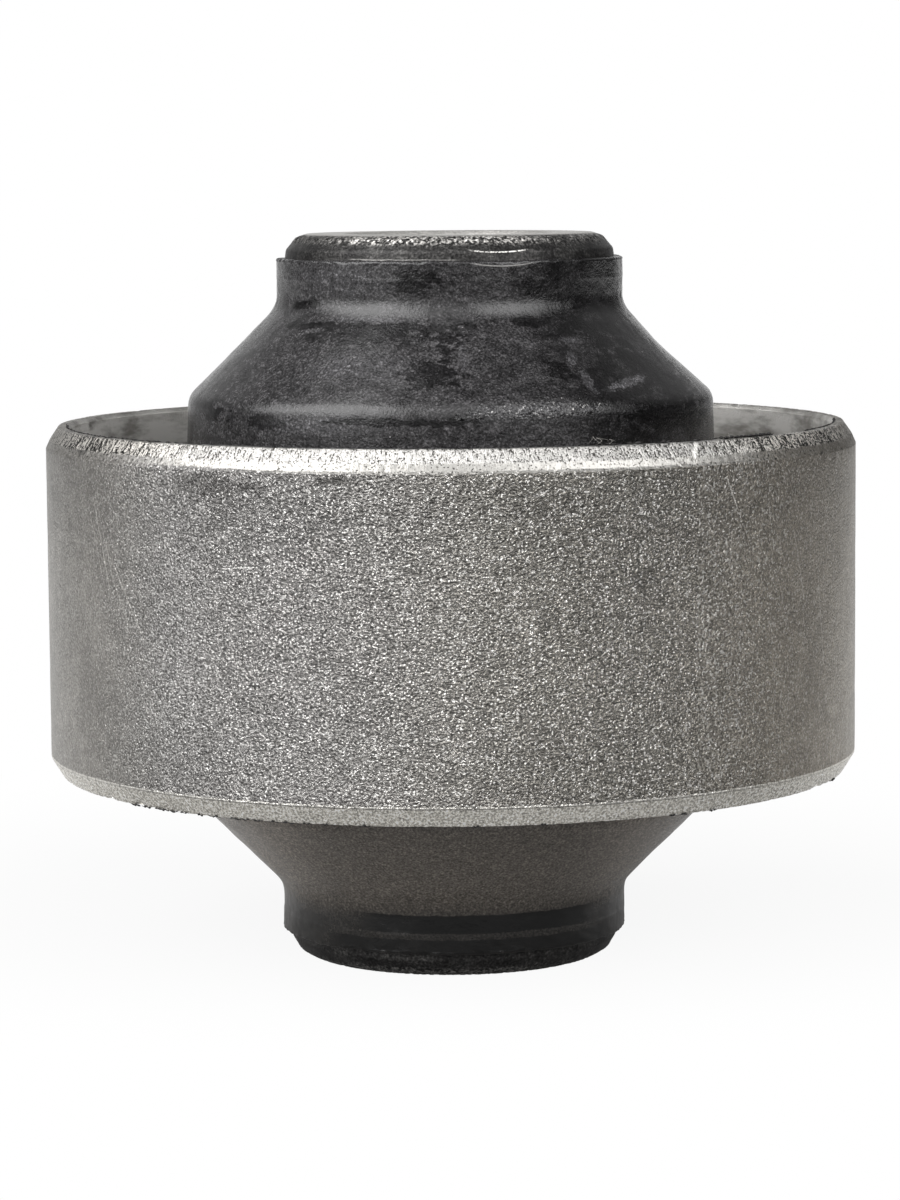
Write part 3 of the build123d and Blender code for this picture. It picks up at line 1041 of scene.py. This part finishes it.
# %% Torn rubber and lint
def torn_finish():
    """A dull near-black, mottled and bumped by one fine noise."""
    made, f, at = material("torn_rubber")
    grit = f.noise(at["place"], 0.1, detail=2)
    colour = f.mix(grit, paint(12, 11, 11), paint(40, 38, 37))
    normal = f.leaning(grit * 0.03)
    f.surface(colour, roughness=0.6 + (grit - 0.5) * 0.2, normal=normal, metallic=0.0)
    return made


def lint_finish():
    """A pale grey, mottled and bumped by one fine noise."""
    made, f, at = material("pale_lint")
    fluff = f.noise(at["place"], 0.3, detail=2)
    colour = f.mix(fluff, paint(120, 117, 112), paint(176, 173, 168))
    normal = f.leaning(fluff * 0.02, strength=0.5)
    f.surface(colour, roughness=0.7 + (fluff - 0.5) * 0.2, normal=normal, metallic=0.0)
    return made


torn_rubber = torn_finish()
pale_lint = lint_finish()
print("torn_rubber:", len(torn_rubber.node_tree.nodes), "nodes")

# %% [markdown]
# ## Finish of the tube
#
# The tube's ends are clean turned steel. Its side is dull and brown, as oiled steel goes when rubber is
# cured on it, and the crown between them is torn by the tool, with bright flecks painted on it as glints.

# %% The whole finish of the tube
LIGHT_LINE = (-17.0, 25.1, 17.0)  # turn of its middle, height, half width in degrees
# The fleck colour is a painted highlight for glints on the crown.
SIDE_DARK, SIDE_PALE, CROWN_GLINT = paint(42, 41, 41), paint(68, 67, 66), paint(206, 203, 199)
FACE_DARK, FACE_PALE, MARK = paint(166, 164, 160), paint(220, 218, 214), paint(214, 212, 208)


def tube_finish():
    """A stained side, a crown torn by the tool with painted glints, a clean face and bore, and the marks of
    the burr.
    """
    made, f, at = material("turned_steel")
    place, z, radius = at["place"], at["z"], at["radius"]
    grain = f.noise(place, 0.17, detail=2)
    chatter = f.noise(place, 0.3, detail=1.5)
    stain = f.noise(place, 1.6, detail=4, roughness=0.6)
    side = f.mix(f.step(stain, 0.3, 0.7), SIDE_DARK, SIDE_PALE)
    in_bore = f.step(radius, BORE_RADIUS + 1.2, BORE_RADIUS + 1.0)
    flat = f.step(abs(z), TUBE_END - 0.10, TUBE_END - 0.03).most(in_bore)
    crown = f.step(abs(z), TUBE_END - BEVEL_HEIGHT - 0.55, TUBE_END - BEVEL_HEIGHT + 0.05)
    crown = crown * f.step(radius, BORE_RADIUS + 2, BORE_RADIUS + 2.5)
    # Painted highlight: the crown's bright flecks are glints, kept mostly to the front and to the upper end.
    front_glint_share = 1 - f.step(abs(at["turn"] + 6), 22.0, 48.0) * 0.75
    torn = crown * f.step(chatter + (grain - 0.5) * 0.4, 0.36, 0.62) * front_glint_share
    torn = torn * (f.step(z, -1.0, 1.0) * 0.7 + 0.3)
    face = f.mix(grain, FACE_DARK, FACE_PALE)
    tone = math.e ** ((grain - 0.5) * 4.0 + (chatter - 0.5) * 1.0)
    colour = f.toned(f.mix(torn, side, CROWN_GLINT), tone)
    colour = f.mix(flat, colour, face)
    turn, height, half = LIGHT_LINE
    light_line = f.band(z + (stain - 0.5) * 0.2, height, 0.015, 0.04) * f.band(at["turn"], turn, half, 4.0)
    marks = (arc_mark(f, at, *BURR) * f.step(grain, 0.3, 0.6)).most(light_line * 0.25)
    colour = f.mix(marks, colour, MARK)
    height = (grain - 0.5) * 0.03 + (chatter - 0.5) * crown * 0.08
    normal = f.leaning(height)
    f.surface(colour, roughness=0.45 + (grain - 0.5) * 0.3, normal=normal, metallic=0.8)
    return made


turned_steel = tube_finish()
print("turned_steel:", len(turned_steel.node_tree.nodes), "nodes")

# %% [markdown]
# ## Hand the pieces to the frame
#
# Each turned piece stands for one part of the construction model. The shreds and the lint are new. Nothing
# here moves, so all of them ride on the one body.

# %% Replace and ride
def hand_over(piece, finish, slot, node=None):
    """Give a piece its finish and its body, hide the part that it stands for, if any, and print its slot."""
    piece.data.materials.append(finish)
    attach(piece, BODY)
    if node:
        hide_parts(node)
    print(piece.name, "takes slot", slot, "and replaces", node or "nothing")


hand_over(ring, blasted_steel, "outer_sleeve", "outer_sleeve")
hand_over(rubber, moulded_rubber, "rubber_body", "rubber_body")
hand_over(tube, turned_steel, "inner_sleeve", "inner_sleeve")
hand_over(rim_shreds, torn_rubber, "rubber_body")
hand_over(edge_bits, torn_rubber, "rubber_body")
hand_over(edge_line, torn_rubber, "rubber_body")
hand_over(foot_shreds, torn_rubber, "rubber_body")
hand_over(lint, pale_lint, "rubber_body")

# %% [markdown]
# ## Studio
#
# The bush stands on a wide white floor. The room round it is dim, with soft windows of light in it: a strong
# one high on either side of the front, a weaker one between them, and faint ones low down and behind. A
# window is a band in azimuth times a band in elevation, which is easier to place than a lamp, and its soft
# edge leaves no hard highlight. The wall behind is white only for what looks straight at it, or at its
# reflection, so it adds no light of its own. The floor's paper is darker in front, where the lower collar
# mirrors it.

# %% Floor
FLOOR_LEFT, FLOOR_RIGHT, FLOOR_FRONT, FLOOR_BACK = -0.5, 0.5, -0.05, 0.6
SHADOW_MIDDLE = 0.03  # the shadow lies behind the bush, so that is where the floor keeps it
SHADOW_REACH = 0.075


def floor_finish():
    """White paper that keeps a soft shadow near the bush, and that is clear when seen from below."""
    made = bpy.data.materials.new("studio_floor")
    made.use_nodes = True
    f = Finish(made.node_tree)
    place = f.node("TexCoord", output="Object")
    beyond = f.node("VectorMath", {"operation": "SUBTRACT"}, {0: place, 1: (0.0, SHADOW_MIDDLE, 0.0)})
    away = f.node("VectorMath", {"operation": "LENGTH"}, {0: beyond}, output="Value")
    behind = f.step(f.parts(place)[1], -0.02, 0.04)
    paper = f.node("BsdfDiffuse", {}, {"Color": f.mix(behind, (0.3, 0.3, 0.3, 1), (0.5, 0.5, 0.5, 1))})
    glow = f.node("Emission", {}, {"Color": (1, 1, 1, 1), "Strength": 1.0})
    far = f.step(away, SHADOW_REACH * 0.3, SHADOW_REACH)
    share = (f.node("LightPath", output="Is Camera Ray") * (0.9 + far * 0.1)).most(
        f.node("LightPath", output="Is Glossy Ray") * far * behind)
    lit = f.node("MixShader", {}, {0: share, 1: paper, 2: glow})
    clear = f.node("BsdfTransparent")
    shown = f.node("MixShader", {}, {0: f.node("NewGeometry", output="Backfacing"), 1: lit, 2: clear})
    f.node("OutputMaterial", {}, {"Surface": shown})
    return made


level = -TUBE_END * MM
floor_mesh = bpy.data.meshes.new("studio_floor")
floor_corners = [(FLOOR_LEFT, FLOOR_FRONT, level), (FLOOR_RIGHT, FLOOR_FRONT, level),
                 (FLOOR_RIGHT, FLOOR_BACK, level), (FLOOR_LEFT, FLOOR_BACK, level)]
floor_mesh.from_pydata(floor_corners, [], [(0, 1, 2, 3)])
floor = bpy.data.objects.new("studio_floor", floor_mesh)
floor.data.materials.append(floor_finish())
bpy.context.scene.collection.objects.link(floor)
floor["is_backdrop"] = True
print("floor at", round(level / MM, 2), "mm")

# %% Room
AMBIENT = 0.05
SOFTBOXES = (  # azimuth to the right of the front, elevation, half width, half height, soft edge, strength
    (-62, 40, 26, 18, 16, 5.0),
    (50, 38, 16, 15, 16, 4.3),
    (-6, 35, 40, 16, 22, 0.8),
    (-55, 2, 18, 8, 16, 0.5),
    (-120, 80, 100, 12, 16, 0.09),
    (-168, 6, 26, 14, 18, 0.35),
    (135, 34, 16, 12, 14, 0.25),
    (-135, 34, 16, 12, 14, 0.1),
)

world = bpy.data.worlds.new("studio_room")
bpy.context.scene.world = world
world.use_nodes = True
f = Finish(world.node_tree)
direction = f.node("TexCoord", output="Generated")
across, ahead, upward = f.parts(direction)
azimuth = across.math("ARCTAN2", across, 0 - ahead) * (180 / math.pi)
elevation = upward.math("ARCSINE", upward) * (180 / math.pi)


def softbox(middle, level, half_width, half_height, soft, strength):
    """Light from a window in the room's azimuth and elevation, full inside and fading over its soft edge."""
    away = f.turn_from(azimuth, middle)
    window = f.band(away, 0, half_width, soft) * f.band(elevation, level, half_height, soft)
    return window * strength


room = sum((softbox(*values) for values in SOFTBOXES), AMBIENT)
behind = f.step(ahead, 0.86, 0.98)
mirrored_wall = f.node("LightPath", output="Is Glossy Ray") * behind
seen = f.node("LightPath", output="Is Camera Ray").most(f.node("LightPath", output="Is Transmission Ray"))
strength = room.most(mirrored_wall)
background = f.node("Background", {}, {"Color": (1, 1, 1, 1), "Strength": strength + seen * (1.0 - strength)})
f.node("OutputWorld", {}, {"Surface": background})
print("room lit by", len(SOFTBOXES), "soft windows over", AMBIENT)

# %% [markdown]
# ## Camera
#
# A long lens from a little above the middle. Its turn is built from three unit vectors, so that the small
# tilt of the horizon is easy to see in the numbers.

# %% Camera
CAMERA_PLACE = (-0.15, -297.5, 32.18)
PITCH = math.radians(6.2785)
ROLL = math.radians(0.4378)
LENS = 120.12

view = bpy.data.cameras.new("camera")
view.lens = LENS
view.sensor_width = 36
view.clip_start, view.clip_end = 0.01, 10
camera = bpy.data.objects.new("camera", view)
bpy.context.scene.collection.objects.link(camera)
level_right = np.array([1, 0, 0])
level_up = np.array([0, math.sin(PITCH), math.cos(PITCH)])
ahead = np.array([0, math.cos(PITCH), -math.sin(PITCH)])
right = level_right * math.cos(ROLL) - level_up * math.sin(ROLL)
up = level_right * math.sin(ROLL) + level_up * math.cos(ROLL)
facing = Matrix(np.stack([right, up, -ahead], 1).tolist()).to_4x4()
camera.matrix_world = Matrix.Translation([value * MM for value in CAMERA_PLACE]) @ facing
bpy.context.scene.camera = camera
bpy.context.scene.view_settings.view_transform = "Standard"
print("camera at", CAMERA_PLACE, "mm")

# %% [markdown]
# ## The size of the dressing
#
# The dressing has to stay inside the construction model's box. Both boxes are printed side by side.

# %% Print the sizes
visual_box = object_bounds()
for low_high, cad_corner, visual_corner in zip(("low", "high"), cad_box, visual_box):
    print(low_high, [round(v / MM, 3) for v in cad_corner], [round(v / MM, 3) for v in visual_corner])
